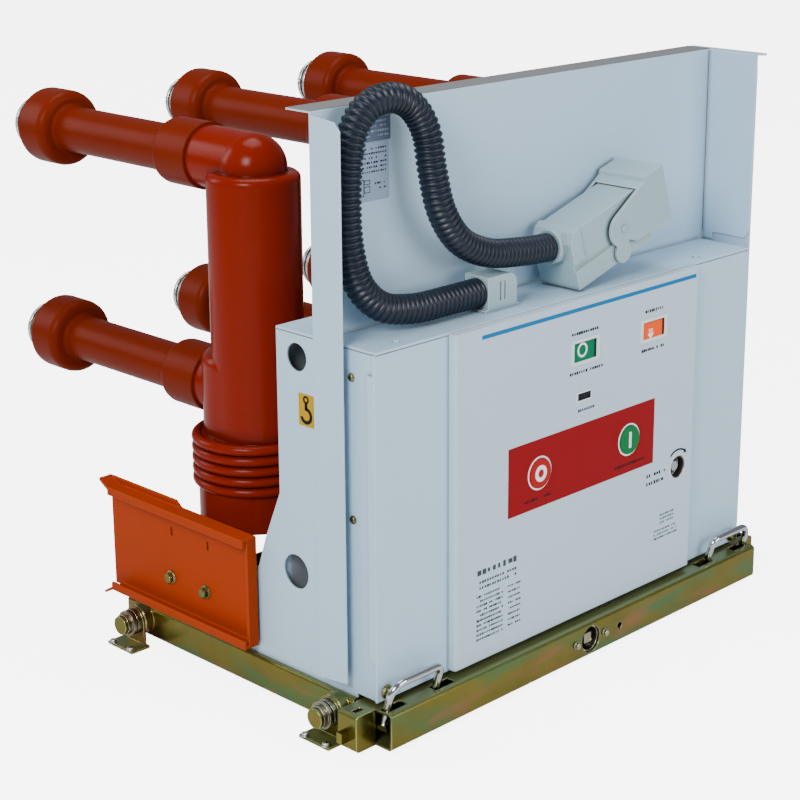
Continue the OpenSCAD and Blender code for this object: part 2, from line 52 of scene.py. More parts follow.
def fromFront(mm):
    return mm / 1000 - depthHalf  # distance from the beam front, as the part counts it


def srgb(r, g, b):
    def lin(c):
        c /= 255
        return c / 12.92 if c <= 0.04045 else ((c + 0.055) / 1.055) ** 2.4
    return (lin(r), lin(g), lin(b), 1)


# helpers for all node trees
def node(tree, kind, **settings):
    # a key that begins with p_ is a property, any other an input with _ for a space
    made = tree.nodes.new(kind)
    for key, value in settings.items():
        if key.startswith("p_"):
            setattr(made, key[2:], value)
        else:
            made.inputs[key.replace("_", " ")].default_value = value
    return made


def link(tree, *rows):
    # a row is node, output, node, input; an output socket may stand for the first two
    for *start, target, into in rows:
        source = start[0] if len(start) == 1 else start[0].outputs[start[1]]
        tree.links.new(source, target.inputs[into])


def calc(tree, operation, *values):
    # a math node on numbers and output sockets
    made = node(tree, "ShaderNodeMath", p_operation=operation)
    for into, value in zip(made.inputs, values):
        if isinstance(value, (int, float)):
            into.default_value = value
        else:
            tree.links.new(value, into)
    return made.outputs[0]


def mixer(tree, **settings):
    return node(tree, "ShaderNodeMix", p_data_type="RGBA", **settings)


# node groups shared by several finishes
def newGroup(name, inputs, outputs):
    group = bpy.data.node_groups.new(name, "ShaderNodeTree")
    for label, value in inputs.items():
        kind = "NodeSocketColor" if isinstance(value, tuple) else "NodeSocketFloat"
        group.interface.new_socket(label, in_out="INPUT", socket_type=kind).default_value = value
    for label, kind in outputs.items():
        group.interface.new_socket(label, in_out="OUTPUT", socket_type="NodeSocket" + kind)
    return group, node(group, "NodeGroupInput"), node(group, "NodeGroupOutput")


# cloudy shift between two colours, as paint and castings have it
cloudGroup, cloudIn, cloudOut = newGroup(
    "cloudyColour",
    {"Colour": (0.5, 0.5, 0.5, 1), "Second": (0.4, 0.4, 0.4, 1), "Patch size": 6.0, "Amount": 0.5},
    {"Colour": "Color"})
cloudCoord = node(cloudGroup, "ShaderNodeTexCoord")
cloudNoise = node(cloudGroup, "ShaderNodeTexNoise", Detail=4.0, Roughness=0.55)
cloudMask = calc(cloudGroup, "MULTIPLY", cloudNoise.outputs["Fac"], cloudIn.outputs["Amount"])
cloudMix = mixer(cloudGroup)
link(cloudGroup, (cloudCoord, "Object", cloudNoise, "Vector"), (cloudIn, "Patch size", cloudNoise, "Scale"),
     (cloudMask, cloudMix, "Factor"), (cloudIn, "Colour", cloudMix, "A"), (cloudIn, "Second", cloudMix, "B"),
     (cloudMix, "Result", cloudOut, "Colour"))

# fine grain of a coat, for bump and for roughness
grainGroup, grainIn, grainOut = newGroup(
    "coatGrain", {"Grain size": 600.0, "Roughness low": 0.35, "Roughness high": 0.5},
    {"Height": "Float", "Roughness": "Float"})
grainCoord = node(grainGroup, "ShaderNodeTexCoord")
grainNoise = node(grainGroup, "ShaderNodeTexNoise", Detail=3.0, Roughness=0.6)
smearNoise = node(grainGroup, "ShaderNodeTexNoise", Scale=14.0, Detail=5.0, Roughness=0.6)
grainRange = node(grainGroup, "ShaderNodeMapRange")
link(grainGroup, (grainCoord, "Object", grainNoise, "Vector"), (grainCoord, "Object", smearNoise, "Vector"),
     (grainIn, "Grain size", grainNoise, "Scale"), (smearNoise, "Fac", grainRange, "Value"),
     (grainIn, "Roughness low", grainRange, "To Min"), (grainIn, "Roughness high", grainRange, "To Max"),
     (grainNoise, "Fac", grainOut, "Height"), (grainRange, "Result", grainOut, "Roughness"))

# edges: a softened normal, and where it leaves the true one, the mask for a painted highlight on edges
edgeGroup, edgeIn, edgeOut = newGroup("softEdge", {"Radius": 0.001}, {"Normal": "Vector", "Mask": "Float"})
edgeBevel = node(edgeGroup, "ShaderNodeBevel", p_samples=6)
edgeTrue = node(edgeGroup, "ShaderNodeNewGeometry")
edgeDot = node(edgeGroup, "ShaderNodeVectorMath", p_operation="DOT_PRODUCT")
edgeRange = node(edgeGroup, "ShaderNodeMapRange", From_Min=0.99, From_Max=0.78)
link(edgeGroup, (edgeIn, "Radius", edgeBevel, "Radius"), (edgeBevel, "Normal", edgeDot, 0),
     (edgeTrue, "Normal", edgeDot, 1), (edgeDot, "Value", edgeRange, "Value"),
     (edgeBevel, "Normal", edgeOut, "Normal"), (edgeRange, "Result", edgeOut, "Mask"))

# painted shade: creases and narrow gaps go darker, ambient occlusion mixing the colour toward the shade colour
deepShade = (0.02, 0.02, 0.02, 1)
gapGroup, gapIn, gapOut = newGroup(
    "gapShade", {"Colour": (0.8, 0.8, 0.8, 1), "Shade": deepShade, "Depth": 0.008, "Strength": 1.6},
    {"Colour": "Color"})
gapReach = node(gapGroup, "ShaderNodeAmbientOcclusion", p_samples=4)
gapDark = calc(gapGroup, "POWER", gapReach.outputs["AO"], gapIn.outputs["Strength"])
gapMix = mixer(gapGroup)
link(gapGroup, (gapIn, "Depth", gapReach, "Distance"), (gapDark, gapMix, "Factor"),
     (gapIn, "Shade", gapMix, "A"), (gapIn, "Colour", gapMix, "B"), (gapMix, "Result", gapOut, "Colour"))
print("finish groups made")


def grouped(tree, group, values):
    made = node(tree, "ShaderNodeGroup", p_node_tree=group)
    for label, value in values.items():
        made.inputs[label].default_value = value
    return made


def finish(name, spec):
    # gap, shade and crease paint shade into creases; edge softens edges and rim paints a highlight on them
    mat = bpy.data.materials.new(name)
    mat.use_nodes = True
    tree = mat.node_tree
    shader = tree.nodes["Principled BSDF"]
    shader.inputs["Metallic"].default_value = spec.get("metal", 0.0)
    shader.inputs["Specular IOR Level"].default_value = spec.get("spec", 0.5)
    clouds = grouped(tree, cloudGroup, {"Colour": spec["colour"], "Second": spec["second"],
                                        "Patch size": spec["patch"], "Amount": spec.get("amount", 0.6)})
    grain = grouped(tree, grainGroup, {"Grain size": spec["grain"], "Roughness low": spec["rough"][0],
                                       "Roughness high": spec["rough"][1]})
    bump = node(tree, "ShaderNodeBump", Strength=spec["bump"], Distance=0.0004)
    link(tree, (grain, "Roughness", shader, "Roughness"), (grain, "Height", bump, "Height"))
    colour = clouds.outputs["Colour"]
    # painted shade: creases and narrow gaps are mixed toward the shade colour
    if "gap" in spec:
        gaps = grouped(tree, gapGroup, {"Depth": spec["gap"], "Shade": spec.get("shade", deepShade),
                                        "Strength": spec.get("crease", 1.6)})
        link(tree, (colour, gaps, "Colour"))
        colour = gaps.outputs["Colour"]
    if "edge" in spec:
        soft = grouped(tree, edgeGroup, {"Radius": spec["edge"]})
        link(tree, (soft, "Normal", bump, "Normal"))
        # painted highlight: edges are mixed toward the lighter rim colour
        if "rim" in spec:
            rim = mixer(tree, B=spec["rim"])
            link(tree, (soft, "Mask", rim, "Factor"), (colour, rim, "A"))
            colour = rim.outputs["Result"]
    link(tree, (colour, shader, "Base Color"), (bump, "Normal", shader, "Normal"))
    return mat


finishes = {
    "housing": dict(colour=srgb(180, 208, 228), second=srgb(170, 199, 220), patch=3.0, amount=0.5,
                    grain=900.0, bump=0.06, rough=(0.36, 0.5), spec=0.3, edge=0.002, rim=srgb(232, 244, 250),
                    gap=0.007, shade=srgb(70, 66, 62), crease=0.9),
    "panel": dict(colour=srgb(186, 208, 223), second=srgb(179, 201, 217), patch=4.0, amount=0.5,
                  grain=1400.0, bump=0.03, rough=(0.34, 0.44), spec=0.3, edge=0.002, rim=srgb(226, 238, 245)),
    "epoxy": dict(colour=srgb(128, 25, 3), second=srgb(110, 18, 2), patch=5.0, amount=0.7,
                  grain=260.0, bump=0.03, rough=(0.18, 0.28), spec=0.11, edge=0.003,
                  gap=0.02, shade=srgb(40, 5, 1), crease=0.9),
    "sleeve": dict(colour=srgb(112, 30, 3), second=srgb(97, 23, 2), patch=7.0, amount=0.7,
                   grain=300.0, bump=0.05, rough=(0.3, 0.4), spec=0.06, edge=0.003),
    "guide": dict(colour=srgb(160, 50, 2), second=srgb(146, 43, 2), patch=9.0, amount=0.6,
                  grain=700.0, bump=0.08, rough=(0.45, 0.58), spec=0.1, edge=0.0018, rim=srgb(196, 86, 26)),
    "hose": dict(colour=srgb(26, 36, 50), second=srgb(20, 28, 40), patch=30.0, amount=0.6,
                 grain=900.0, bump=0.03, rough=(0.32, 0.42), spec=0.32,
                 gap=0.006, shade=srgb(6, 9, 14), crease=1.0),
    "plug": dict(colour=srgb(156, 182, 189), second=srgb(145, 171, 179), patch=12.0, amount=0.6,
                 grain=800.0, bump=0.12, rough=(0.36, 0.5), spec=0.3, edge=0.002, rim=srgb(212, 228, 232),
                 gap=0.008, shade=srgb(54, 54, 52), crease=1.0),
    "chrome": dict(colour=(0.56, 0.57, 0.60, 1), second=(0.46, 0.47, 0.50, 1), patch=20.0, metal=1.0,
                   grain=900.0, bump=0.01, rough=(0.06, 0.12)),
    "steel": dict(colour=(0.40, 0.36, 0.24, 1), second=(0.30, 0.27, 0.18, 1), patch=40.0, metal=1.0, gap=0.006,
                  grain=700.0, bump=0.04, rough=(0.24, 0.36), edge=0.001, rim=(0.75, 0.70, 0.50, 1)),
    "silver": dict(colour=(0.92, 0.92, 0.90, 1), second=(0.80, 0.80, 0.79, 1), patch=30.0, metal=1.0, gap=0.005,
                   grain=900.0, bump=0.03, rough=(0.16, 0.26), edge=0.0006),
    "spring": dict(colour=(0.70, 0.70, 0.66, 1), second=(0.58, 0.58, 0.55, 1), patch=30.0, metal=0.9, gap=0.005,
                   grain=900.0, bump=0.02, rough=(0.2, 0.3)),
    "socket": dict(colour=(0.46, 0.47, 0.48, 1), second=(0.34, 0.35, 0.36, 1), patch=30.0, metal=1.0, gap=0.012,
                   grain=800.0, bump=0.04, rough=(0.28, 0.42), edge=0.0012, rim=(0.85, 0.86, 0.87, 1)),
    "red": dict(colour=srgb(168, 8, 6), second=srgb(150, 6, 5), patch=20.0,
                grain=900.0, bump=0.02, rough=(0.3, 0.4), spec=0.15, edge=0.001),
    "green": dict(colour=srgb(0, 112, 58), second=srgb(0, 98, 50), patch=20.0,
                  grain=900.0, bump=0.02, rough=(0.3, 0.4), spec=0.12, edge=0.001),
    "zinc": dict(colour=srgb(130, 120, 44), second=srgb(92, 84, 38), patch=16.0, amount=0.9,
                 grain=500.0, bump=0.03, rough=(0.18, 0.32), edge=0.0022, rim=srgb(206, 208, 150)),
}
mats = {name: finish(name + "Finish", spec) for name, spec in finishes.items()}


def opened(name):
    # tree, shader and present colour of a finish that gets more layers
    tree = mats[name].node_tree
    shader = tree.nodes["Principled BSDF"]
    return tree, shader, shader.inputs["Base Color"].links[0].from_socket


# yellow passivated zinc: gold with green and rosy clouds
# upper: colour of the painted reflection on upward faces
zincLook = dict(stretch=(0.35, 0.35, 1.6), upper=srgb(116, 122, 74), metal=(0.92, 0.7))
zincClouds = (dict(tint=srgb(88, 112, 66), patch=22.0, at=(0.6, 0.2, 0.9), low=0.44, high=0.66),
              dict(tint=srgb(146, 102, 66), patch=30.0, at=(3.1, 1.7, 0.4), low=0.56, high=0.78))
zincTree, zincShader, zincColour = opened("zinc")
zincCoord = node(zincTree, "ShaderNodeTexCoord")
for look in zincClouds:
    shift = node(zincTree, "ShaderNodeMapping", Location=look["at"], Scale=zincLook["stretch"])
    cloud = node(zincTree, "ShaderNodeTexNoise", Scale=look["patch"], Detail=2.0)
    part = node(zincTree, "ShaderNodeMapRange", From_Min=look["low"], From_Max=look["high"])
    blend = mixer(zincTree, B=look["tint"])
    link(zincTree, (zincCoord, "Object", shift, "Vector"), (shift, "Vector", cloud, "Vector"),
         (cloud, "Fac", part, "Value"), (part, "Result", blend, "Factor"), (zincColour, blend, "A"))
    zincColour = blend.outputs["Result"]
# painted reflection: upper faces are tinted greener, and less metallic so less bright in reflections
lie = node(zincTree, "ShaderNodeNewGeometry")
lieParts = node(zincTree, "ShaderNodeSeparateXYZ")
paintedReflectionMask = node(zincTree, "ShaderNodeMapRange", From_Min=0.5, From_Max=0.9)
paintedReflectionBlend = mixer(zincTree, B=zincLook["upper"])
lieMetal = node(zincTree, "ShaderNodeMapRange", To_Min=zincLook["metal"][0], To_Max=zincLook["metal"][1])
link(zincTree, (lie, "Normal", lieParts, "Vector"), (lieParts, "Z", paintedReflectionMask, "Value"),
     (paintedReflectionMask, "Result", paintedReflectionBlend, "Factor"), (paintedReflectionMask, "Result", lieMetal, "Value"),
     (zincColour, paintedReflectionBlend, "A"), (lieMetal, "Result", zincShader, "Metallic"),
     (paintedReflectionBlend, "Result", zincShader, "Base Color"))

# lock tongues at the outer ends of the handles are passivated too
tongue = dict(beyond=0.3785, gold=srgb(130, 120, 52))
chromeTree, chromeShader, chromeColour = opened("chrome")
reach = node(chromeTree, "ShaderNodeTexCoord")
reachParts = node(chromeTree, "ShaderNodeSeparateXYZ")
reachOut = calc(chromeTree, "ABSOLUTE", reachParts.outputs["X"])
reachBlend = mixer(chromeTree, B=tongue["gold"])
link(chromeTree, (reach, "Object", reachParts, "Vector"),
     (calc(chromeTree, "GREATER_THAN", reachOut, tongue["beyond"]), reachBlend, "Factor"),
     (chromeColour, reachBlend, "A"), (reachBlend, "Result", chromeShader, "Base Color"))

prints = {
    "whiteInk": srgb(244, 246, 247), "redField": srgb(136, 2, 12), "blueStripe": srgb(0, 112, 170),
    "greyInk": srgb(64, 70, 78), "darkInk": srgb(18, 20, 23), "flagGreen": srgb(0, 112, 76),
    "flagOrange": srgb(250, 84, 10), "signYellow": srgb(186, 146, 0), "plateGrey": srgb(150, 168, 194),
    "plateDark": srgb(96, 108, 130), "frameGrey": srgb(222, 230, 235), "recessBlack": srgb(12, 13, 14),
    "shadeGreen": srgb(4, 44, 34), "shadeOrange": srgb(60, 28, 16), "trimGrey": srgb(122, 124, 127),
    "seamGrey": srgb(84, 90, 98), "insideGrey": srgb(156, 164, 172),
}
for name, colour in prints.items():
    darker = tuple(c * 0.9 for c in colour[:3]) + (1,)
    mats[name] = finish(name, dict(colour=colour, second=darker, patch=8.0, amount=0.5,
                                   grain=1200.0, bump=0.02, rough=(0.42, 0.56), spec=0.1))
print("finishes made:", len(mats))

slotOf = {part["node"]: part["material_slot"] for part in frame["record"]["subparts"]}
for name, obj in nodes.items():
    obj.data.materials.clear()
    obj.data.materials.append(mats[slotOf[name]])


# helpers for new pieces
def added(name, data):
    obj = bpy.data.objects.new(name, data)
    bpy.context.scene.collection.objects.link(obj)
    return obj


def piece(name, bm, mat, body, smooth=False):
    bmesh.ops.recalc_face_normals(bm, faces=bm.faces)
    mesh = bpy.data.meshes.new(name)
    bm.to_mesh(mesh)
    bm.free()
    mesh.materials.append(mats[mat])
    for poly in mesh.polygons:
        poly.use_smooth = smooth
    obj = added(name, mesh)
    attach(obj, body)
    return obj


def polar(cu, cv, r, a):
    return cu + r * math.cos(a), cv + r * math.sin(a)


def circlePoints(cu, cv, r, count=40):
    return [polar(cu, cv, r, 2 * math.pi * i / count) for i in range(count)]


def ringPair(cu, cv, outer, inner, count=40):
    return circlePoints(cu, cv, outer, count), circlePoints(cu, cv, inner, count)


def span(cu, cv, w, h):
    return cu - w / 2, cv - h / 2, cu + w / 2, cv + h / 2


def roundedBox(u0, v0, u1, v1, r=0.0):
    if r <= 0:
        return [(u0, v0), (u1, v0), (u1, v1), (u0, v1)]
    corners = ((u1 - r, v0 + r, -90), (u1 - r, v1 - r, 0), (u0 + r, v1 - r, 90), (u0 + r, v0 + r, 180))
    return [polar(cu, cv, r, math.radians(start + 22.5 * step))
            for cu, cv, start in corners for step in range(5)]


# flat shapes lying on a face: the view says how (u, v) becomes a place and which way is out
faceMaps = {
    "front": lambda u, v, d: (u, d, v),
    "left": lambda u, v, d: (d, u, v),
    "top": lambda u, v, d: (u, v, d),
}
outSign = {"front": -1, "left": -1, "top": 1}


def flatShapes(name, view, level, thick, shapes, mat, body="breaker"):
    # a shape is an outline, or a pair of outlines with as many points each for a ring
    bm = bmesh.new()
    place = faceMaps[view]
    face = level + outSign[view] * thick

    def loops(outline):
        return [[bm.verts.new(place(u, v, d)) for u, v in outline] for d in (face, level)]

    for shape in shapes:
        ring = isinstance(shape, tuple)
        top, base = loops(shape[0] if ring else shape)
        if ring:
            innerTop, innerBase = loops(shape[1])
        else:
            bm.faces.new(top)
            bm.faces.new(base)
        for i in range(len(top)):
            j = (i + 1) % len(top)
            bm.faces.new((top[i], top[j], base[j], base[i]))
            if ring:
                bm.faces.new((top[i], innerTop[i], innerTop[j], top[j]))
                bm.faces.new((base[i], base[j], innerBase[j], innerBase[i]))
                bm.faces.new((innerTop[i], innerBase[i], innerBase[j], innerTop[j]))
    return piece(name, bm, mat, body)


# corrugated control hose, on the same points as the part's hose
hose = dict(radius=0.019, groove=0.0034, pitch=0.0078, sides=28, ringsPerRib=8, ribShape=0.6, steps=40,
            gland=-0.150, glandGap=0.004, plug=-0.016, drawnRise=0.276,
            hoodGap=0.0023, hoodHigh=0.080, hoodLean=17)
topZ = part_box("top_plate")[1].z
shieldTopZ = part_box("shield_plate")[1].z
kz = (shieldTopZ - topZ) / hose["drawnRise"]
glandZ = hose["radius"] + hose["glandGap"]
hoodRise = hose["hoodGap"] + hose["hoodHigh"] * math.cos(math.radians(hose["hoodLean"])) - hose["radius"]
hosePoints = [  # x, millimetres from the front, height over the top plate
    (hose["gland"], 77, glandZ), (-0.170, 77, glandZ), (-0.214, 77, glandZ), (-0.262, 78, glandZ + 0.001),
    (-0.310, 83, 0.034 * kz), (-0.340, 90, 0.063 * kz), (-0.353, 94, 0.106 * kz), (-0.357, 95, 0.153 * kz),
    (-0.355, 95, 0.206 * kz), (-0.346, 94, 0.249 * kz), (-0.325, 92, 0.276 * kz), (-0.292, 88, 0.285 * kz),
    (-0.260, 84, 0.273 * kz), (-0.239, 79, 0.240 * kz), (-0.232, 75, 0.191 * kz), (-0.218, 73, 0.139 * kz),
    (-0.186, 72, 0.097 * kz), (-0.134, 72, hoodRise + 0.013), (-0.074, 73, hoodRise + 0.004),
    (-0.040, 74, hoodRise + 0.001), (hose["plug"], 75, hoodRise)]
hosePoints = [Vector((x, fromFront(y), topZ + z)) for x, y, z in hosePoints]


def smoothLine(points, steps):
    line = []
    for i in range(len(points) - 1):
        a, b = points[max(i - 1, 0)], points[i]
        c, d = points[i + 1], points[min(i + 2, len(points) - 1)]
        for j in range(steps):
            t = j / steps
            line.append(0.5 * (2 * b + (c - a) * t + (2 * a - 5 * b + 4 * c - d) * t * t
                               + (3 * b - a - 3 * c + d) * t ** 3))
    line.append(points[-1])
    return line


def evenLine(line, gap):
    run = [0.0]
    for a, b in zip(line, line[1:]):
        run.append(run[-1] + (b - a).length)
    count = max(2, round(run[-1] / gap))
    even, k = [], 0
    for i in range(count + 1):
        want = run[-1] * i / count
        while k < len(run) - 2 and run[k + 1] < want:
            k += 1
        even.append(line[k].lerp(line[k + 1], (want - run[k]) / (run[k + 1] - run[k])))
    return even, run[-1]


hoseLine, hoseLength = evenLine(smoothLine(hosePoints, hose["steps"]), hose["pitch"] / hose["ringsPerRib"])
bm = bmesh.new()
rings = []
for i, here in enumerate(hoseLine):
    along = (hoseLine[min(i + 1, len(hoseLine) - 1)] - hoseLine[max(i - 1, 0)]).normalized()
    side = along.cross(Vector((0, 1, 0))).normalized()
    across = along.cross(side)
    wave = 0.5 + 0.5 * math.cos(2 * math.pi * i / hose["ringsPerRib"])
    r = hose["radius"] - hose["groove"] * (1 - wave ** hose["ribShape"])
    rings.append([bm.verts.new(here + u * side + v * across) for u, v in circlePoints(0, 0, r, hose["sides"])])
for one, two in zip(rings, rings[1:]):
    for s in range(hose["sides"]):
        t = (s + 1) % hose["sides"]
        bm.faces.new((one[s], one[t], two[t], two[s]))
bm.faces.new(rings[0])
bm.faces.new(rings[-1])
hosePiece = piece("controlHose", bm, "hose", "breaker", smooth=True)
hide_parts("control_hose")
print("hose made, length", round(hoseLength, 3))

# printed panel: stripe, field, windows, counter and ruled captions
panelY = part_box("label_panel")[0].y
panel = dict(stripe=(-0.2025, 0.4924, 0.2345, 0.4976), field=(-0.152, 0.2425, 0.149, 0.3365),
             greenWindow=(-0.0040, 0.4373, 0.046, 0.0260), orangeWindow=(0.1411, 0.4373, 0.047, 0.0240),
             counter=(-0.0040, 0.3750, 0.027, 0.0100))
film = dict(field=0.0004, ink=0.0003, over=0.0002)  # over: thickness of what is printed on ink


def onPanel(name, shapes, mat, thick, lift=0.0):
    flatShapes(name, "front", panelY - lift, thick, shapes, mat)


def overInk(name, shapes, mat):
    onPanel(name, shapes, mat, film["over"], film["ink"])


onPanel("panelStripe", [roundedBox(*panel["stripe"])], "blueStripe", film["field"])
offLow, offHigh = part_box("off_button")
onLow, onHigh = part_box("on_button")
offX, onX, knobZ = (offLow.x + offHigh.x) / 2, (onLow.x + onHigh.x) / 2, (offLow.z + offHigh.z) / 2
knob = dict(step=0.004, gap=0.0008, rim=0.0030, ring=(0.0112, 0.0056), bar=(0.0050, 0.0230), barRound=0.0008)
buttonR = (offHigh.x - offLow.x) / 2 - knob["step"]
holeRim = buttonR + knob["gap"]


# the red field is cut in two so that both buttons keep their holes
def boxWithHole(u0, v0, u1, v1, cu, cv, r, count=40):
    turns = [2 * math.pi * i / count for i in range(count)]
    turns += [math.atan2(v - cv, u - cu) % (2 * math.pi) for u in (u0, u1) for v in (v0, v1)]
    outer, inner = [], []
    for a in sorted(turns):
        c, s = math.cos(a), math.sin(a)
        far = min((u1 - cu) / c if c > 1e-9 else (u0 - cu) / c if c < -1e-9 else 9,
                  (v1 - cv) / s if s > 1e-9 else (v0 - cv) / s if s < -1e-9 else 9)
        outer.append(polar(cu, cv, far, a))
        inner.append(polar(cu, cv, r, a))
    return outer, inner


u0, v0, u1, v1 = panel["field"]
middle = (offX + onX) / 2
onPanel("redField", [boxWithHole(u0, v0, middle, v1, offX, knobZ, holeRim),
                     boxWithHole(middle, v0, u1, v1, onX, knobZ, holeRim)], "redField", film["field"])
onPanel("buttonRims", [ringPair(x, knobZ, buttonR + knob["rim"], holeRim) for x in (offX, onX)],
        "whiteInk", film["field"], film["field"])
flatShapes("offMark", "front", offLow.y, film["ink"], [ringPair(offX, knobZ, *knob["ring"])],
           "whiteInk", "off")
flatShapes("onMark", "front", onLow.y, film["ink"],
           [roundedBox(*span(onX, knobZ, *knob["bar"]), knob["barRound"])], "whiteInk", "on")

window = dict(high=0.0014, border=0.004, wideBorder=0.006, outer=0.002, inner=0.0008, sideShade=0.0045,
              topShade=0.0014)
for name, flag, shade in (("greenWindow", "flagGreen", "shadeGreen"),
                          ("orangeWindow", "flagOrange", "shadeOrange")):
    u0, v0, u1, v1 = span(*panel[name])
    glass = roundedBox(u0, v0, u1, v1, window["inner"])
    border, shadeU = window["border"], u1 - window["sideShade"]
    onPanel(name + "Frame", [(roundedBox(u0 - border, v0 - border, u1 + window["wideBorder"], v1 + border,
                                         window["outer"]), glass)], "frameGrey", window["high"])
    onPanel(name + "Flag", [glass], flag, film["ink"])
    # painted shadow: dark strips inside the window along its right and top edge
    overInk(name + "Shade", [roundedBox(shadeU, v0, u1, v1),
                             roundedBox(u0, v1 - window["topShade"], shadeU, v1)], shade)
# ring on the green flag, two coils and an arrow head on the orange one, from the middle of the window
marks = dict(ringAt=(-0.0055, 0.0018), ring=(0.0100, 0.0070), coilAt=-0.0060, coils=(0.00025, -0.00275),
             coil=(0.0090, 0.0015), head=((-0.013, -0.005), (0.001, -0.005), (-0.006, -0.0125)))
cx, cz = panel["greenWindow"][:2]
overInk("openMark", [ringPair(cx + marks["ringAt"][0], cz + marks["ringAt"][1], *marks["ring"])], "whiteInk")
cx, cz = panel["orangeWindow"][:2]
coils = [roundedBox(*span(cx + marks["coilAt"], cz + z, *marks["coil"])) for z in marks["coils"]]
overInk("springMark", coils + [[(cx + u, cz + v) for u, v in marks["head"]]], "whiteInk")
counter = dict(high=0.0012, border=0.002, outer=0.001, inner=0.0004, figures="00037", first=-0.36, step=0.18,
               digit=(0.0010, 0.0020))
cx, cz, cw, ch = panel["counter"]
onPanel("counterWindow", [roundedBox(*span(cx, cz, cw, ch))], "recessBlack", film["ink"])
onPanel("counterFrame", [(roundedBox(*span(cx, cz, cw + 2 * counter["border"], ch + 2 * counter["border"]),
                                     counter["outer"]),
                          roundedBox(*span(cx, cz, cw, ch), counter["inner"]))], "frameGrey", counter["high"])

# drum figures of the counter, drawn as seven short bars each
digitBars = {"0": "abcdef", "3": "abcdg", "7": "abc"}
barBox = {"a": (-1, 0.8, 1, 1), "b": (0.7, 0, 1, 1), "c": (0.7, -1, 1, 0), "d": (-1, -1, 1, -0.8),
          "e": (-1, -1, -0.7, 0), "f": (-1, 0, -0.7, 1), "g": (-1, -0.1, 1, 0.1)}
figures = []
dw, dh = counter["digit"]
for i, digit in enumerate(counter["figures"]):
    gx = cx + cw * (counter["first"] + i * counter["step"])
    for bar in digitBars[digit]:
        a, b, c, d = barBox[bar]
        figures.append(roundedBox(gx + a * dw, cz + b * dh, gx + c * dw, cz + d * dh))
overInk("counterFigures", figures, "greyInk")

# arrow round the charging socket
chLow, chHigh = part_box("charge_socket")
chX, chZ = (chLow.x + chHigh.x) / 2, (chLow.z + chHigh.z) / 2
swing = dict(outer=0.0272, inner=0.0246, headOuter=0.0296, headInner=0.0222, point=0.0258, lead=0.24,
             start=132, step=7, count=12, rim=(0.0190, 0.0173), rimHigh=0.0006)
arc = [math.radians(swing["start"] - swing["step"] * i) for i in range(swing["count"])]
tip = arc[-1]
arrow = ([polar(chX, chZ, swing["outer"], a) for a in arc]
         + [polar(chX, chZ, swing["inner"], a) for a in reversed(arc)])
head = [polar(chX, chZ, swing["headOuter"], tip), polar(chX, chZ, swing["headInner"], tip),
        polar(chX, chZ, swing["point"], tip - swing["lead"])]
onPanel("chargeArrow", [arrow, head], "darkInk", film["ink"])
onPanel("chargeRim", [ringPair(chX, chZ, *swing["rim"])], "frameGrey", swing["rimHigh"])


def turned(bm, x, z, profile, sides, closed=False):
    # profile: pairs of radius and depth, turned about an axis along Y; a radius of 0 ends it in one point
    loops = []
    for r, y in profile:
        loops.append([bm.verts.new((x, y, z))] if r == 0 else
                     [bm.verts.new((u, y, v)) for u, v in circlePoints(x, z, r, sides)])
    pairs = list(zip(loops, loops[1:])) + ([(loops[-1], loops[0])] if closed else [])
    for a, b in pairs:
        for i in range(sides):
            j = (i + 1) % sides
            corners = [a[i % len(a)], a[j % len(a)], b[j % len(b)], b[i % len(b)]]
            bm.faces.new(list(dict.fromkeys(corners)))


# open cup with a hexagon head; depths count from the cup's mouth
cup = dict(flange=0.0209, step=0.0065, r=0.0169, wall=0.0012, deep=0.012, head=0.0092, headFace=0.0050,
           bevel=0.0012, sink=0.0002)
bore, root = cup["r"] - cup["wall"], cup["deep"] - cup["sink"]
cupProfile = [(0, chHigh.y - chLow.y), (cup["flange"], chHigh.y - chLow.y), (cup["flange"], cup["step"]),
              (cup["r"], cup["step"]), (cup["r"], 0), (bore, 0), (bore, cup["deep"]), (0, cup["deep"])]
headProfile = [(0, root), (cup["head"], root), (cup["head"], cup["headFace"] + cup["bevel"]),
               (cup["head"] - cup["bevel"], cup["headFace"]), (0, cup["headFace"])]
bm = bmesh.new()
for profile, sides in ((cupProfile, 40), (headProfile, 6)):
    turned(bm, chX, chZ, [(r, chLow.y + deep) for r, deep in profile], sides)
chargeCup = piece("chargeCup", bm, "socket", "charge")
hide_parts("charge_socket")
print("panel prints made")

# helpers for geometry trees
socketKinds = {int: "Int", float: "Float", tuple: "Vector", type(None): "Material"}


def newTree(name, inputs):
    tree = bpy.data.node_groups.new(name, "GeometryNodeTree")
    tree.interface.new_socket("Geometry", in_out="INPUT", socket_type="NodeSocketGeometry")
    ids = {}
    for label, value in inputs.items():
        kind = "NodeSocket" + socketKinds[type(value)]
        socket = tree.interface.new_socket(label, in_out="INPUT", socket_type=kind)
        if value is not None:
            socket.default_value = value
        ids[label] = socket.identifier
    tree.interface.new_socket("Geometry", in_out="OUTPUT", socket_type="NodeSocketGeometry")
    return tree, ids, node(tree, "NodeGroupInput"), node(tree, "NodeGroupOutput")


def coated(tree, first, last, spread, label):
    # makes the instances real and gives them the material of the input with that label
    real = node(tree, "GeometryNodeRealizeInstances")
    coat = node(tree, "GeometryNodeSetMaterial")
    link(tree, (spread, "Instances", real, "Geometry"), (real, "Geometry", coat, "Geometry"),
         (first, label, coat, "Material"), (coat, "Geometry", last, "Geometry"))


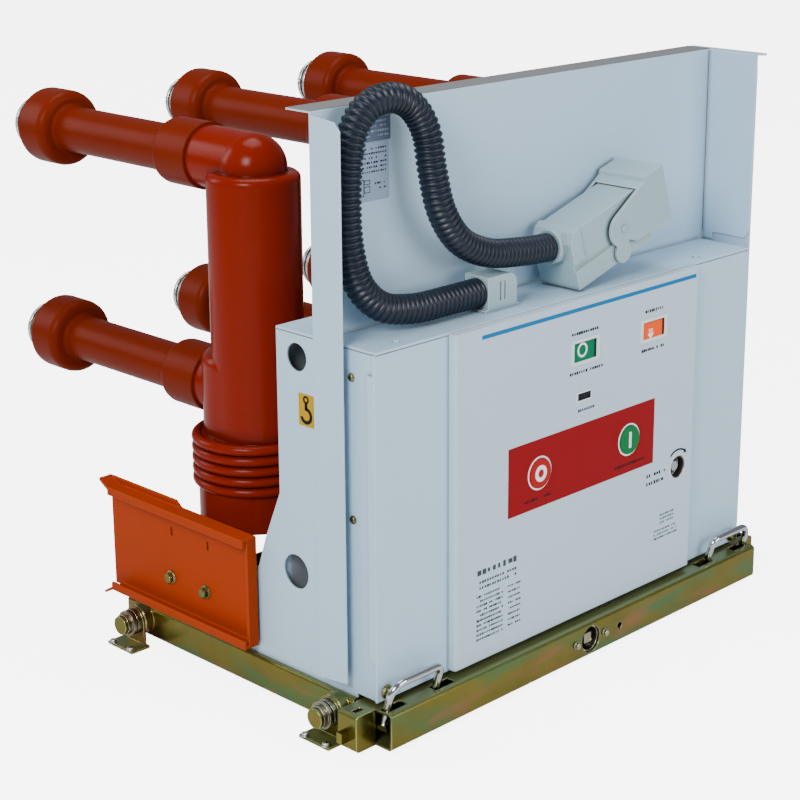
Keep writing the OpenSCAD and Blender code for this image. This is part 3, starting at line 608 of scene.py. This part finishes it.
def scattered(tree, first, last, shape, label):
    # sets the shape on each point of the base mesh, turned the way that the point faces
    dots = node(tree, "GeometryNodeMeshToPoints")
    facing = node(tree, "GeometryNodeInputNamedAttribute", p_data_type="FLOAT_VECTOR", Name="facing")
    turn = node(tree, "FunctionNodeAlignRotationToVector", p_axis="Z")
    spread = node(tree, "GeometryNodeInstanceOnPoints")
    link(tree, (first, "Geometry", dots, "Mesh"), (facing, "Attribute", turn, "Vector"),
         (dots, "Points", spread, "Points"), (shape, spread, "Instance"),
         (turn, "Rotation", spread, "Rotation"))
    coated(tree, first, last, spread, label)


def grown(name, base, tree, ids, values, body):
    # runs a node tree on a base mesh and keeps its result as a plain mesh
    obj = added(name, base)
    mod = obj.modifiers.new(name, "NODES")
    mod.node_group = tree
    for label, value in values.items():
        mod[ids[label]] = value
    graph = bpy.context.evaluated_depsgraph_get()
    result = bpy.data.meshes.new_from_object(obj.evaluated_get(graph), depsgraph=graph)
    obj.modifiers.clear()
    obj.data = result
    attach(obj, body)
    return obj


# rows of short bars in place of captions, with seeded lengths and heights
def ruledTree():
    tree, ids, first, last = newTree("ruledLines", {
        "Rows": 4, "Row gap": 0.005, "Words": 3, "Word gap": 0.02, "Bar width": 0.018, "Bar height": 0.0016,
        "Shortest": 0.5, "Kept": 0.86, "Seed": 1, "Start": (0, 0, 0), "Ink": None})
    rowLine = node(tree, "GeometryNodeMeshLine")
    wordLine = node(tree, "GeometryNodeMeshLine")
    down = node(tree, "ShaderNodeCombineXYZ")
    along = node(tree, "ShaderNodeCombineXYZ")
    places = node(tree, "GeometryNodeInstanceOnPoints")
    realPlaces = node(tree, "GeometryNodeRealizeInstances")
    link(tree, (first, "Rows", rowLine, "Count"), (first, "Start", rowLine, "Start Location"),
         (calc(tree, "MULTIPLY", first.outputs["Row gap"], -1), down, "Z"), (down, 0, rowLine, "Offset"),
         (first, "Words", wordLine, "Count"), (first, "Word gap", along, "X"), (along, 0, wordLine, "Offset"),
         (rowLine, "Mesh", places, "Points"), (wordLine, "Mesh", places, "Instance"),
         (places, "Instances", realPlaces, "Geometry"))
    # one bar with its left end at the origin
    bar = node(tree, "GeometryNodeMeshCube")
    size = node(tree, "ShaderNodeCombineXYZ", Y=film["ink"])
    shift = node(tree, "GeometryNodeTransform")
    offset = node(tree, "ShaderNodeCombineXYZ")
    link(tree, (first, "Bar width", size, "X"), (first, "Bar height", size, "Z"), (size, 0, bar, "Size"),
         (calc(tree, "MULTIPLY", first.outputs["Bar width"], 0.5), offset, "X"),
         (bar, "Mesh", shift, "Geometry"), (offset, 0, shift, "Translation"))
    # lengths and heights by chance, and some bars left out
    lengths = node(tree, "FunctionNodeRandomValue", p_data_type="FLOAT")
    heights = node(tree, "FunctionNodeRandomValue", p_data_type="FLOAT")
    heights.inputs[2].default_value = 0.6  # least part of the full height
    seedStep = 7  # keeps the heights apart from the lengths
    kept = node(tree, "FunctionNodeRandomValue", p_data_type="BOOLEAN")
    stretch = node(tree, "ShaderNodeCombineXYZ", Y=1)
    spread = node(tree, "GeometryNodeInstanceOnPoints")
    link(tree, (first, "Shortest", lengths, 2), (first, "Seed", lengths, "Seed"),
         (calc(tree, "ADD", first.outputs["Seed"], seedStep), heights, "Seed"), (first, "Seed", kept, "Seed"),
         (first, "Kept", kept, "Probability"), (kept, 3, spread, "Selection"), (lengths, 1, stretch, "X"),
         (heights, 1, stretch, "Z"), (realPlaces, "Geometry", spread, "Points"),
         (shift, "Geometry", spread, "Instance"), (stretch, 0, spread, "Scale"))
    coated(tree, first, last, spread, "Ink")
    return tree, ids


linesTree, linesIds = ruledTree()


def ruled(name, start, rows, words, bar, chance, seed, ink):
    # rows and words: a count and a gap; bar: width and height; chance: shortest length and share kept
    values = dict(zip(linesIds, (*rows, *words, *bar, *chance, seed, start, mats[ink])))
    grown(name, bpy.data.meshes.new(name), linesTree, linesIds, values, "breaker")


captions = {  # left end and height of the first row, rows, gap of rows, width of a row, mark, ink
    "openCaption": (-0.031, 0.463, 1, 0.004, 0.065, (0.0046, 0.0046), "darkInk"),
    "shutCaption": (-0.034, 0.4094, 1, 0.004, 0.069, (0.0046, 0.0046), "darkInk"),
    "springCaption": (0.1225, 0.464, 1, 0.004, 0.043, (0.0046, 0.0046), "darkInk"),
    "freeCaption": (0.117, 0.4097, 1, 0.004, 0.053, (0.0046, 0.0046), "darkInk"),
    "counterCaption": (-0.0196, 0.356, 1, 0.004, 0.0405, (0.0042, 0.0042), "darkInk"),
    "offCaption": (-0.120, 0.2555, 1, 0.004, 0.065, (0.0044, 0.0042), "darkInk"),
    "onCaption": (0.0646, 0.2547, 1, 0.004, 0.066, (0.0044, 0.0042), "darkInk"),
    "chargeCaption": (0.136, 0.2240, 2, 0.0118, 0.046, (0.0056, 0.0054), "darkInk"),
    "noteHead": (0.170, 0.1580, 3, 0.0058, 0.033, (0.0040, 0.0034), "greyInk"),
    "noteLines": (0.157, 0.1360, 3, 0.0058, 0.057, (0.0036, 0.0030), "greyInk"),
    "ratingHead": (-0.209, 0.1840, 1, 0.0085, 0.086, (0.0098, 0.0084), "greyInk"),
    "ratingSub": (-0.205, 0.1705, 2, 0.0078, 0.072, (0.0048, 0.0042), "greyInk"),
    "ratingLines": (-0.210, 0.1515, 10, 0.0066, 0.052, (0.0034, 0.0034), "darkInk"),
    "ratingValues": (-0.150, 0.1490, 8, 0.0078, 0.027, (0.0036, 0.0028), "darkInk"),
}
captionLook = dict(lift=0.0001, fill=0.84, chance=(0.45, 0.86), seed=11)
for i, (name, (x, z, rows, gap, wide, mark, ink)) in enumerate(captions.items()):
    lift = captionLook["lift"] + (film["field"] if name in ("offCaption", "onCaption") else 0)
    ruled(name, (x, panelY - lift, z), (rows, gap), (int(wide / mark[0]), mark[0]),
          (mark[0] * captionLook["fill"], mark[1]), captionLook["chance"], captionLook["seed"] + i, ink)
print("captions ruled:", len(captions))

# plates on the shield and the lifting sign on the side plate
shieldFace = fromFront(120)
# a grey band along the top lip of the shield
shieldBand = dict(x=-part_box("shield_plate")[0].x - 0.0005, front=121.0, back=161.0, thick=0.0008)
flatShapes("shieldTrim", "top", shieldTopZ, shieldBand["thick"],
           [roundedBox(-shieldBand["x"], fromFront(shieldBand["front"]), shieldBand["x"], fromFront(shieldBand["back"]))],
           "trimGrey", "breaker")
wing = dict(edge=shieldBand["x"] - 0.0035, seam=0.0012, low=topZ + 0.010, high=shieldTopZ - 0.002)
flatShapes("wingSeam", "front", shieldFace, film["ink"],
           [roundedBox(wing["edge"] - wing["seam"], wing["low"], wing["edge"], wing["high"])],
           "seamGrey", "breaker")
plate = dict(thick=0.0006, corner=0.001, rating=(-0.330, 0.6655, -0.262, 0.7360),
             upper=(-0.330, 0.7372, -0.259, 0.7780), pitch=0.0038, bar=(0.0033, 0.0026), chance=(0.4, 0.8),
             seed=41, line=0.0008)
for name, box, mat in (("ratingPlate", "rating", "plateGrey"), ("upperPlate", "upper", "plateDark")):
    flatShapes(name, "front", shieldFace, plate["thick"], [roundedBox(*plate[box], plate["corner"])], mat)
plateRows = dict(ratingPlateLines=(-0.322, 0.7290, 6, 0.0056, 15, "darkInk"),
                 ratingPlateFoot=(-0.286, 0.6860, 2, 0.0060, 5, "darkInk"),
                 upperPlateLines=(-0.322, 0.7730, 6, 0.0058, 16, "plateGrey"))
for i, (name, (x, z, rows, gap, marks, ink)) in enumerate(plateRows.items()):
    ruled(name, (x, shieldFace - plate["thick"], z), (rows, gap), (marks, plate["pitch"]), plate["bar"],
          plate["chance"], plate["seed"] + i, ink)


def boxRing(u0, v0, u1, v1, line):
    return roundedBox(u0, v0, u1, v1), roundedBox(u0 + line, v0 + line, u1 - line, v1 - line)


# small outline drawing on the lower plate
drawing = ((-0.322, 0.6720, -0.304, 0.6930), (-0.304, 0.6760, -0.294, 0.6840), (-0.304, 0.6860, -0.294, 0.6915))
flatShapes("plateDrawing", "front", shieldFace - plate["thick"], film["over"],
           [boxRing(*box, plate["line"]) for box in drawing], "darkInk")

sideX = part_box("side_left")[0].x
sign = dict(y=fromFront(152.6), z=0.4112, w=0.027, h=0.041, corner=0.001, thick=0.0005,
            hookLow=0.007, hook=0.0110, hookInner=0.0064, bendFrom=80, bendStep=14, bendCount=20,
            shank=0.0024, shankFrom=0.001, shankTo=0.0100, eyeUp=0.0136, eye=(0.0052, 0.0026))
flatShapes("liftSign", "left", sideX, sign["thick"],
           [roundedBox(*span(sign["y"], sign["z"], sign["w"], sign["h"]), sign["corner"])], "signYellow")
bend = [math.radians(sign["bendFrom"] + sign["bendStep"] * i) for i in range(sign["bendCount"])]
hook = ([polar(sign["y"], sign["z"] - sign["hookLow"], sign["hook"], a) for a in bend]
        + [polar(sign["y"], sign["z"] - sign["hookLow"], sign["hookInner"], a) for a in reversed(bend)])
shank = roundedBox(sign["y"] - sign["shank"], sign["z"] + sign["shankFrom"],
                   sign["y"] + sign["shank"], sign["z"] + sign["shankTo"])
flatShapes("liftHook", "left", sideX - sign["thick"], film["ink"],
           [hook, shank, ringPair(sign["y"], sign["z"] + sign["eyeUp"], *sign["eye"], 24)], "darkInk")

# joint under the edge of the top plate, at the front and at both sides
lid = dict(sheet=0.0030, line=0.0009, thick=0.0002, front=30.0, sideFront=32.0, back=205.0)
lidZ = topZ - lid["sheet"]
flatShapes("lidSeamFront", "front", fromFront(lid["front"]), lid["thick"],
           [roundedBox(sideX, lidZ - lid["line"], -sideX, lidZ)], "seamGrey", "breaker")
for label, level in (("Left", sideX), ("Right", -sideX + lid["thick"])):
    flatShapes("lidSeam" + label, "left", level, lid["thick"],
               [roundedBox(fromFront(lid["sideFront"]), lidZ - lid["line"], fromFront(lid["back"]), lidZ)],
               "seamGrey", "breaker")

# painted shade: a grey sheet on the inside of the rear plate, seen through the side holes, stands in for the
# shaded inside of the housing
rearLow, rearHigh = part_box("rear_plate")
insideShade = dict(thick=0.0005, area=(-0.360, 0.080, 0.360, 0.495))
flatShapes("insideShadeSheet", "front", rearLow.y - insideShade["thick"], insideShade["thick"], [roundedBox(*insideShade["area"])],
           "insideGrey", "breaker")
print("plates and sign made")


# bolts and screws, one tree for all of them
def boltTree():
    tree, ids, first, last = newTree("boltField", {
        "Sides": 6, "Head radius": 0.006, "Head height": 0.004, "Top radius": 0.005, "Washer radius": 0.008,
        "Washer height": 0.0015, "Metal": None})
    washer = node(tree, "GeometryNodeMeshCylinder", Vertices=24)
    head = node(tree, "GeometryNodeMeshCylinder")
    crown = node(tree, "GeometryNodeMeshCone")
    join = node(tree, "GeometryNodeJoinGeometry")
    headHigh, washerHigh = first.outputs["Head height"], first.outputs["Washer height"]
    link(tree, (first, "Washer radius", washer, "Radius"), (washerHigh, washer, "Depth"),
         (first, "Sides", head, "Vertices"), (first, "Head radius", head, "Radius"), (headHigh, head, "Depth"),
         (first, "Sides", crown, "Vertices"), (first, "Head radius", crown, "Radius Bottom"),
         (first, "Top radius", crown, "Radius Top"), (calc(tree, "MULTIPLY", headHigh, 0.25), crown, "Depth"))

    def raised(shape, height):
        lift = node(tree, "GeometryNodeTransform")
        place = node(tree, "ShaderNodeCombineXYZ")
        link(tree, (height, place, "Z"), (place, 0, lift, "Translation"), (shape, "Mesh", lift, "Geometry"),
             (lift, "Geometry", join, 0))

    raised(washer, calc(tree, "MULTIPLY", washerHigh, 0.5))
    raised(head, calc(tree, "ADD", calc(tree, "MULTIPLY", headHigh, 0.5), washerHigh))
    raised(crown, calc(tree, "ADD", headHigh, washerHigh))
    scattered(tree, first, last, join.outputs["Geometry"], "Metal")
    return tree, ids


boltsTree, boltsIds = boltTree()
outward = {"front": (0, -1, 0), "back": (0, 1, 0), "left": (-1, 0, 0), "right": (1, 0, 0), "up": (0, 0, 1)}
boltKinds = {  # sides, head radius and height, radius of the crown, washer radius and height, metal
    "hexBolt": (6, 0.0075, 0.0052, 0.0064, 0.0092, 0.0018, "zinc"),
    "panScrew": (20, 0.0042, 0.0022, 0.0026, 0.0052, 0.0006, "zinc"),
    "portScrew": (20, 0.0044, 0.0034, 0.0026, 0.0056, 0.0008, "steel"),
    "topScrew": (20, 0.0040, 0.0016, 0.0030, 0.0050, 0.0004, "housing"),
    "footScrew": (20, 0.0046, 0.0026, 0.0030, 0.0062, 0.0008, "silver"),
}


def facingPoints(name, places):
    # places: pairs of a point and the way that it faces
    mesh = bpy.data.meshes.new(name)
    mesh.from_pydata([point for point, way in places], [], [])
    facing = mesh.attributes.new("facing", "FLOAT_VECTOR", "POINT")
    for item, (point, way) in zip(facing.data, places):
        item.vector = outward[way]
    return mesh


def bolts(name, places, kind, body="breaker"):
    *sizes, metal = boltKinds[kind]
    values = dict(zip(boltsIds, (*sizes, mats[metal])))
    grown(name, facingPoints(name, places), boltsTree, boltsIds, values, body)


bothSides = ((-1, "left"), (1, "right"))
guideBolt = dict(x=0.382, y=(424, 351), z=0.1135)
bolts("guideBolts", [((s * guideBolt["x"], fromFront(y), guideBolt["z"]), way)
                     for s, way in bothSides for y in guideBolt["y"]], "hexBolt")
sideScrew = dict(x=0.374, y=71, z=(0.4713, 0.2903))
bolts("sideScrews", [((s * sideScrew["x"], fromFront(sideScrew["y"]), z), way)
                     for s, way in bothSides for z in sideScrew["z"]], "panScrew")
topSpots = ((-0.323, 47), (0.275, 50))
bolts("topScrews", [((x, fromFront(y), topZ), "up") for x, y in topSpots], "topScrew")
coverBolt = dict(x=0.360, y=30, z=0.0705)
bolts("coverBolts", [((s * coverBolt["x"], fromFront(coverBolt["y"]), coverBolt["z"]), "front")
                     for s in (-1, 1)], "hexBolt")
port = dict(z=0.0305, screwX=0.030, outer=0.0186, inner=0.0168, front=fromFront(3.4), back=fromFront(15.0))
bolts("portScrews", [((s * port["screwX"], fromFront(0), port["z"]), "front") for s in (-1, 1)],
      "portScrew", "front")
bm = bmesh.new()
turned(bm, 0, port["z"], [(port["outer"], port["front"]), (port["outer"], port["back"]),
                          (port["inner"], port["back"]), (port["inner"], port["front"])], 40, closed=True)
piece("portBush", bm, "silver", "front")
foot = dict(x=0.4225, y=(94, 490), apart=(-19, 19), z=0.004)
bolts("footScrews", [((s * foot["x"], fromFront(y + d), foot["z"]), "up")
                     for s in (-1, 1) for y in foot["y"] for d in foot["apart"]], "footScrew")
rearScrew = dict(x=(-0.355, -0.18, 0.18, 0.355), z=(0.075, 0.49))
bolts("rearScrews", [((x, rearHigh.y, z), "back") for x in rearScrew["x"] for z in rearScrew["z"]], "panScrew")
print("fasteners placed")


# garter springs round the contact fingers: a coil bent into a ring
def springTree():
    tree, ids, first, last = newTree("garterSpring", {
        "Ring radius": 0.03, "Coil radius": 0.003, "Wire radius": 0.0006, "Turns": 60, "Wire": None})
    pointsPerTurn = 7
    ring = node(tree, "GeometryNodeCurvePrimitiveCircle")
    section = node(tree, "GeometryNodeCurvePrimitiveCircle", Resolution=5)
    index = node(tree, "GeometryNodeInputIndex")
    spot = node(tree, "GeometryNodeInputPosition")
    outwards = node(tree, "ShaderNodeVectorMath", p_operation="NORMALIZE")
    sidewards = node(tree, "ShaderNodeVectorMath", p_operation="SCALE")
    upwards = node(tree, "ShaderNodeCombineXYZ")
    both = node(tree, "ShaderNodeVectorMath", p_operation="ADD")
    wound = node(tree, "GeometryNodeSetPosition")
    wire = node(tree, "GeometryNodeCurveToMesh")
    coil = first.outputs["Coil radius"]
    coilTurn = calc(tree, "MULTIPLY", index.outputs[0], 2 * math.pi / pointsPerTurn)
    link(tree, (calc(tree, "MULTIPLY", first.outputs["Turns"], pointsPerTurn), ring, "Resolution"),
         (first, "Ring radius", ring, "Radius"), (spot, 0, outwards, 0), (outwards, 0, sidewards, 0),
         (calc(tree, "MULTIPLY", coil, calc(tree, "COSINE", coilTurn)), sidewards, "Scale"),
         (calc(tree, "MULTIPLY", coil, calc(tree, "SINE", coilTurn)), upwards, "Z"),
         (sidewards, 0, both, 0), (upwards, 0, both, 1), (ring, "Curve", wound, "Geometry"),
         (both, 0, wound, "Offset"), (first, "Wire radius", section, "Radius"),
         (wound, "Geometry", wire, "Curve"), (section, "Curve", wire, "Profile Curve"))
    scattered(tree, first, last, wire.outputs["Mesh"], "Wire")
    return tree, ids


springs = dict(ring=0.0335, coil=0.0029, wire=0.0008, turns=110, back=(0.010, 0.019, 0.028))
coilTree, coilIds = springTree()
spots = []
for row in ("upper", "lower"):
    for side in ("left", "middle", "right"):
        tLow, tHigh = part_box("tulip_" + row + "_" + side)
        x, z = (tLow.x + tHigh.x) / 2, (tLow.z + tHigh.z) / 2
        spots += [((x, tHigh.y - d, z), "back") for d in springs["back"]]
grown("garterSprings", facingPoints("garterSprings", spots), coilTree, coilIds,
      {"Ring radius": springs["ring"], "Coil radius": springs["coil"], "Wire radius": springs["wire"],
       "Turns": springs["turns"], "Wire": mats["spring"]}, "breaker")
print("springs wound:", len(spots))

# floor, light and camera
stageLook = dict(paper=(0.88, 0.88, 0.88, 1), second=(0.85, 0.85, 0.85, 1), radius=9.0, sides=96, z=-0.0005,
                 glow=5.6)  # the glow keeps the paper pale without lighting the breaker
floorRim = circlePoints(0, 0, stageLook["radius"], stageLook["sides"])
floorMesh = bpy.data.meshes.new("studioFloor")
floorMesh.from_pydata([(x, y, stageLook["z"]) for x, y in floorRim], [], [list(range(stageLook["sides"]))])
floor = added("studioFloor", floorMesh)
paper = finish("floorPaper", dict(colour=stageLook["paper"], second=stageLook["second"], patch=1.0,
                                  amount=0.3, grain=300.0, bump=0.02, rough=(0.7, 0.8), spec=0.1))
paperTree = paper.node_tree
paperShader = paperTree.nodes["Principled BSDF"]
paperShader.inputs["Emission Color"].default_value = (1, 1, 1, 1)
lightPath = node(paperTree, "ShaderNodeLightPath")
link(paperTree, (calc(paperTree, "MULTIPLY", lightPath.outputs["Is Camera Ray"], stageLook["glow"]),
                 paperShader, "Emission Strength"))
floorMesh.materials.append(paper)

sky = dict(colour=(0.94, 0.97, 1.0, 1), strength=0.30, seen=6.6)
world = bpy.data.worlds.new("studioWorld")
world.use_nodes = True
worldTree = world.node_tree
background = worldTree.nodes["Background"]
background.inputs["Color"].default_value = sky["colour"]
seenBy = node(worldTree, "ShaderNodeLightPath")
skyLevel = node(worldTree, "ShaderNodeMapRange", To_Min=sky["strength"], To_Max=sky["seen"])
link(worldTree, (seenBy, "Is Camera Ray", skyLevel, "Value"), (skyLevel, "Result", background, "Strength"))
bpy.context.scene.world = world

softLights = {  # place, aim, size, power
    "keyLight": ((-3.1, -1.35, 2.3), (0, 0, 0.4), (1.3, 1.3), 116),
    "fillLight": ((0.8, -3.3, 1.3), (0, -0.2, 0.3), (2.2, 1.6), 64),
    "topLight": ((0.0, 0.2, 3.4), (0, 0, 0.3), (1.7, 1.7), 58),
    "rearLight": ((-1.6, 2.6, 1.7), (0, 0.1, 0.4), (1.2, 1.6), 24),
}
for name, (at, aim, size, power) in softLights.items():
    data = bpy.data.lights.new(name, "AREA")
    data.shape = "RECTANGLE"
    data.size, data.size_y = size
    data.energy = power
    lamp = added(name, data)
    lamp.location = at
    lamp.rotation_euler = (Vector(aim) - Vector(at)).to_track_quat("-Z", "Y").to_euler()
    lamp.visible_camera = False

cameraLook = dict(at=(-1.86631, -1.93706, 1.14217), tilt=73.962, turn=-46.063, sensor=36, lens=86.143,
                  shift=(-0.05, -0.075))
camData = bpy.data.cameras.new("photoCamera")
camData.sensor_width = cameraLook["sensor"]
camData.lens = cameraLook["lens"]
camData.shift_x, camData.shift_y = cameraLook["shift"]
camera = added("photoCamera", camData)
camera.location = cameraLook["at"]
camera.rotation_euler = (math.radians(cameraLook["tilt"]), 0, math.radians(cameraLook["turn"]))
bpy.context.scene.camera = camera
print("stage set")
